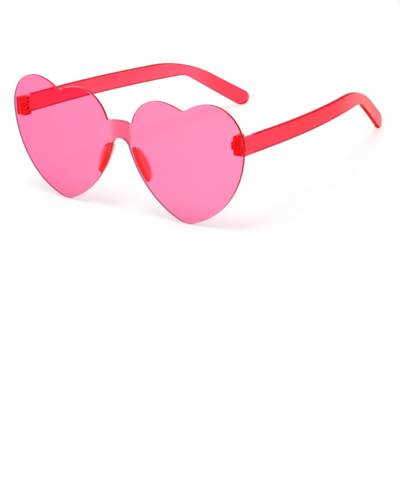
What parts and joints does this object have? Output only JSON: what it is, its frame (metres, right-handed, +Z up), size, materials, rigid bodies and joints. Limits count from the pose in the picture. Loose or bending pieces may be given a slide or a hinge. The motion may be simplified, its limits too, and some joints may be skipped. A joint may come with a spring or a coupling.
{
  "type": "heart shaped sunglasses",
  "caption": "Rimless sunglasses with a one-piece heart-shaped tinted front, moulded nose pads and temples that fold on screwed hinges.",
  "frame": {"origin": "on the table the open pair stands on, under the middle of its bounding box", "axes": "+X to the right as the front is looked at, +Y back along the temples, +Z up; the front faces -Y. Left and right in the names are as seen from the front"},
  "size_m": [0.1504, 0.1467, 0.06],
  "materials": {
    "lens": "clear tinted, polished",
    "pad": "clear tinted, moulded",
    "end_piece": "clear tinted, moulded",
    "temple": "clear tinted, polished",
    "screw": "turned"
  },
  "bodies": {
    "front": {"heart_lens": "lens", "left_nose_pad": "pad", "right_nose_pad": "pad", "left_end_piece": "end_piece", "right_end_piece": "end_piece", "left_hinge_screw": "screw", "right_hinge_screw": "screw"},
    "left_arm": {"left_temple": "temple"},
    "right_arm": {"right_temple": "temple"}
  },
  "joints": [
    {"name": "left_fold", "type": "hinge", "parent": "front", "child": "left_arm", "pos_m": [-0.07003, -0.06182, 0.04102], "axis": [0, -0.0948, -0.9955], "range_deg": [0, 75.5]},
    {"name": "right_fold", "type": "hinge", "parent": "front", "child": "right_arm", "pos_m": [0.07003, -0.06182, 0.04102], "axis": [0, 0.0948, 0.9955], "range_deg": [0, 80]}
  ]
}
